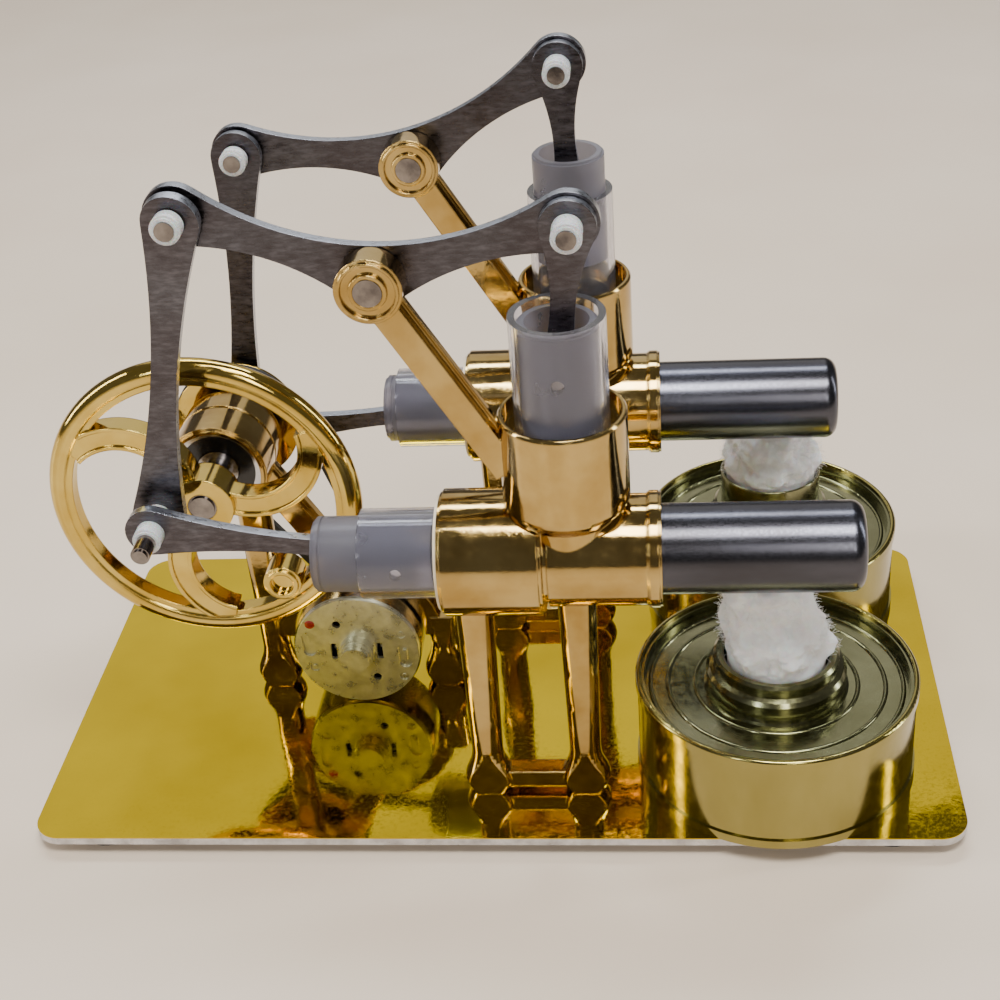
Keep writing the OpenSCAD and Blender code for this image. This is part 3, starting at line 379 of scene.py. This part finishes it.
def tuft_shape(side, height, neck, top):
    """Radius and lean of a tuft in mm at a height in mm, where neck and top are heights too."""
    lean, packed, bulge, crown = TUFTS[side]
    if height < neck:
        return packed, 0.0
    share = (height - neck) / (top - neck)
    swell = packed + (bulge - packed) * min(1.0, share / BULGE_AT)
    radius = swell + (crown - bulge) * max(0.0, (share - BULGE_AT) / (1 - BULGE_AT)) ** 1.2
    closing = min(1.0, max(0.0, (1.0 - share) / CLOSING)) ** 0.5
    return radius * (TIP + (1 - TIP) * closing), lean * share ** 1.3


def ring_faces(rows, cols):
    """Faces of a stack of closed rings, with a cap at each end."""
    faces = []
    for i in range(rows):
        for j in range(cols):
            k = (j + 1) % cols
            faces.append((i * cols + j, i * cols + k, (i + 1) * cols + k, (i + 1) * cols + j))
    faces.append(tuple(reversed(range(cols))))
    faces.append(tuple(range(rows * cols, (rows + 1) * cols)))
    return faces


def lumps(point, seed):
    """Height of the cotton's lumps in mm at a point in mm."""
    p = Vector(point) + Vector((seed * 31.7, seed * 11.3, 0))
    return (1.9 * noise.noise(p * 0.17) + 1.0 * noise.noise(p * 0.42) + 0.45 * noise.noise(p * 1.1)
            + 0.2 * noise.noise(p * 2.6))


def cotton_tuft(side, centre, low, high, neck, seed):
    """A lumpy closed tuft from low to high, free above neck, with loose fibres standing off it."""
    rows, cols = TUFT_ROWS, TUFT_COLS
    top = (high - low) / MM
    neck_mm = (neck - low) / MM
    verts = []
    for i in range(rows + 1):
        height = top * i / rows
        radius, lean = tuft_shape(side, height, neck_mm, top)
        # 0 up to 1 mm below the neck's top, 1 from 2 mm above it
        free = min(1.0, max(0.0, (height - neck_mm + 1.0) / 3.0))
        for j in range(cols):
            angle = 2 * math.pi * j / cols
            out = Vector((math.cos(angle), math.sin(angle), 0))
            puff = lumps(out * radius + Vector((0, 0, height)), seed) * free * min(1.0, radius / 3)
            r = max(0.05, radius - 0.3 * free + puff)
            sink = 0.5 * free * noise.noise(Vector((out.x * radius, out.y * radius, seed)) * 0.4)
            verts.append((centre.x + (out.x * r + lean) * MM, centre.y + out.y * r * MM,
                          low + (height + sink * (i < rows) - 0.4 * free) * MM))
    faces = ring_faces(rows, cols)
    rng = random.Random(seed)
    first = int(rows * neck_mm / top) + 4
    for _ in range(FIBRES):
        i = rng.randrange(first, rows - 4)
        root = Vector(verts[i * cols + rng.randrange(cols)])
        out = Vector((root.x - centre.x, root.y - centre.y, 0)).normalized()
        step = (out * 0.5 + Vector([rng.uniform(-1, 1) for _ in range(3)]) * 0.8).normalized()
        add_fibre(verts, faces, root - out * 0.3 * MM, step, rng)
    return finish_piece(side + "_cotton", verts, faces, MATERIALS["cotton"])


def add_fibre(verts, faces, at, step, rng):
    """One curling fibre as a thin three-sided tube."""
    length, width, steps = rng.uniform(0.8, 2.0) * MM, 0.028 * MM, 5
    side = step.cross(Vector((0.3, 0.5, 0.8))).normalized()
    other = step.cross(side)
    curl = Vector([rng.uniform(-0.5, 0.5) for _ in range(3)])
    base = len(verts)
    point = at.copy()
    for k in range(steps + 1):
        for a in range(3):
            turn = 2 * math.pi * a / 3
            verts.append(point + (side * math.cos(turn) + other * math.sin(turn)) * width)
        step = (step + curl * 0.5).normalized()
        point = point + step * length / steps
    for k in range(steps):
        ring = base + 3 * k
        for a in range(3):
            b = (a + 1) % 3
            faces.append((ring + a, ring + b, ring + 3 + b, ring + 3 + a))
    faces.append((base + 2, base + 1, base))
    end = base + 3 * steps
    faces.append((end, end + 1, end + 2))


def cotton_wicks():
    """The two lamps' cotton in place of the CAD's plain wicks."""
    low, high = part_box("wicks")
    for seed, side in enumerate(SIDES, 3):
        lid_low, lid_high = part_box(side + "_lid")
        tuft = cotton_tuft(side, (lid_low + lid_high) / 2, low.z, high.z, lid_high.z, seed)
        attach(tuft, "frame")
    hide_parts("wicks")


cotton_wicks()


# ---------------------------------------------------------------- small details


def motor_dot():
    """A dot of red lacquer on the motor's end plate."""
    low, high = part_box("motor_end_plate")
    centre = (low + high) / 2
    face_y = high.y - 0.8 * MM
    radius, height, cols = 0.95 * MM, 0.14 * MM, 32
    # Rings of the dot from its rim inward: share of the radius, share of the height
    profile = ((1.0, 0.0), (0.96, 0.6), (0.8, 0.9), (0.4, 1.0))
    at = Vector((centre.x - 8.4 * MM, 0, centre.z + 6.3 * MM))
    verts = []
    for share, rise in profile:
        for j in range(cols):
            angle = 2 * math.pi * j / cols
            verts.append((at.x + share * radius * math.cos(angle), face_y - rise * height,
                          at.z + share * radius * math.sin(angle)))
    faces = ring_faces(len(profile) - 1, cols)
    dot = finish_piece("motor_dot", verts, faces, red_lacquer())
    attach(dot, "frame")


motor_dot()


# ---------------------------------------------------------------- floor, light and camera


def floor():
    """A plain pale floor, with its half size in metres."""
    size = 3.0
    mesh = bpy.data.meshes.new("floor")
    mesh.from_pydata([(-size, -size, 0), (size, -size, 0), (size, size, 0), (-size, size, 0)],
                     [], [(0, 1, 2, 3)])
    obj = bpy.data.objects.new("floor", mesh)
    bpy.context.scene.collection.objects.link(obj)
    s = Shader("pale_floor", (0.72, 0.60, 0.48), 0.0, 0.45)
    s.colour(s.ramp(s.noise(9, 3.0), [(0.3, (0.70, 0.58, 0.46)), (0.7, (0.76, 0.65, 0.53))]))
    mesh.materials.append(s.mat)


def area_light(name, place, target, size, power, tint):
    """A rectangular light at place that faces target."""
    data = bpy.data.lights.new(name, "AREA")
    data.shape = "RECTANGLE"
    data.size, data.size_y = size
    data.energy = power
    data.color = tint
    obj = bpy.data.objects.new(name, data)
    bpy.context.scene.collection.objects.link(obj)
    obj.location = place
    obj.rotation_euler = (Vector(target) - Vector(place)).to_track_quat("-Z", "Y").to_euler()


# Soft boxes: name, place, width and height, watts and tint
SOFT_BOXES = (
    ("overhead", (0.12, -0.28, 0.85), (0.42, 0.26), 8.0, (1.0, 0.97, 0.92)),
    ("back_strip", (-0.10, 0.42, 0.80), (0.75, 0.12), 5.0, (0.94, 0.97, 1.0)),
    ("left_strip", (-0.85, -0.05, 0.42), (0.10, 0.65), 3.5, (1.0, 0.96, 0.9)),
    ("right_strip", (0.85, 0.15, 0.38), (0.10, 0.60), 2.6, (0.95, 0.97, 1.0)),
    ("back_wall", (-0.3, 1.5, 0.95), (1.5, 0.9), 3.4, (1.0, 0.96, 0.9)),
    ("front_fill", (0.30, -1.2, 0.75), (0.22, 0.45), 3.4, (1.0, 0.95, 0.88)),
    ("front_left", (-0.55, -1.0, 0.60), (0.12, 0.45), 2.4, (0.92, 0.96, 1.0)),
)


def studio():
    """Soft boxes with dark gaps between them, as in a dim room with bright windows."""
    for name, place, size, power, tint in SOFT_BOXES:
        area_light(name, place, (0, 0, 0.05), size, power, tint)
    world = bpy.data.worlds.new("studio")
    bpy.context.scene.world = world
    world.use_nodes = True
    background = world.node_tree.nodes["Background"]
    background.inputs["Color"].default_value = (0.95, 0.90, 0.84, 1.0)
    background.inputs["Strength"].default_value = 0.14


def camera():
    """The photograph's view, solved from its edges and ellipses."""
    place = Vector((0.03288, -0.25954, 0.20692))
    yaw, pitch, roll = (math.radians(a) for a in (-6.826, 31.512, 4.740))
    lens_px, frame_px = 1672.2, 1000
    forward = Vector((math.sin(yaw) * math.cos(pitch), math.cos(yaw) * math.cos(pitch),
                      -math.sin(pitch)))
    level = Vector((math.cos(yaw), -math.sin(yaw), 0))
    down = forward.cross(level)
    right = level * math.cos(roll) + down * math.sin(roll)
    lower = down * math.cos(roll) - level * math.sin(roll)
    data = bpy.data.cameras.new("camera")
    data.sensor_width = 36.0
    data.lens = lens_px * data.sensor_width / frame_px
    data.shift_x, data.shift_y = -0.0009, -0.0151
    data.clip_start = 0.01
    obj = bpy.data.objects.new("camera", data)
    bpy.context.scene.collection.objects.link(obj)
    obj.matrix_world = Matrix((
        (right.x, -lower.x, -forward.x, place.x),
        (right.y, -lower.y, -forward.y, place.y),
        (right.z, -lower.z, -forward.z, place.z),
        (0, 0, 0, 1)))
    bpy.context.scene.camera = obj


floor()
studio()
camera()
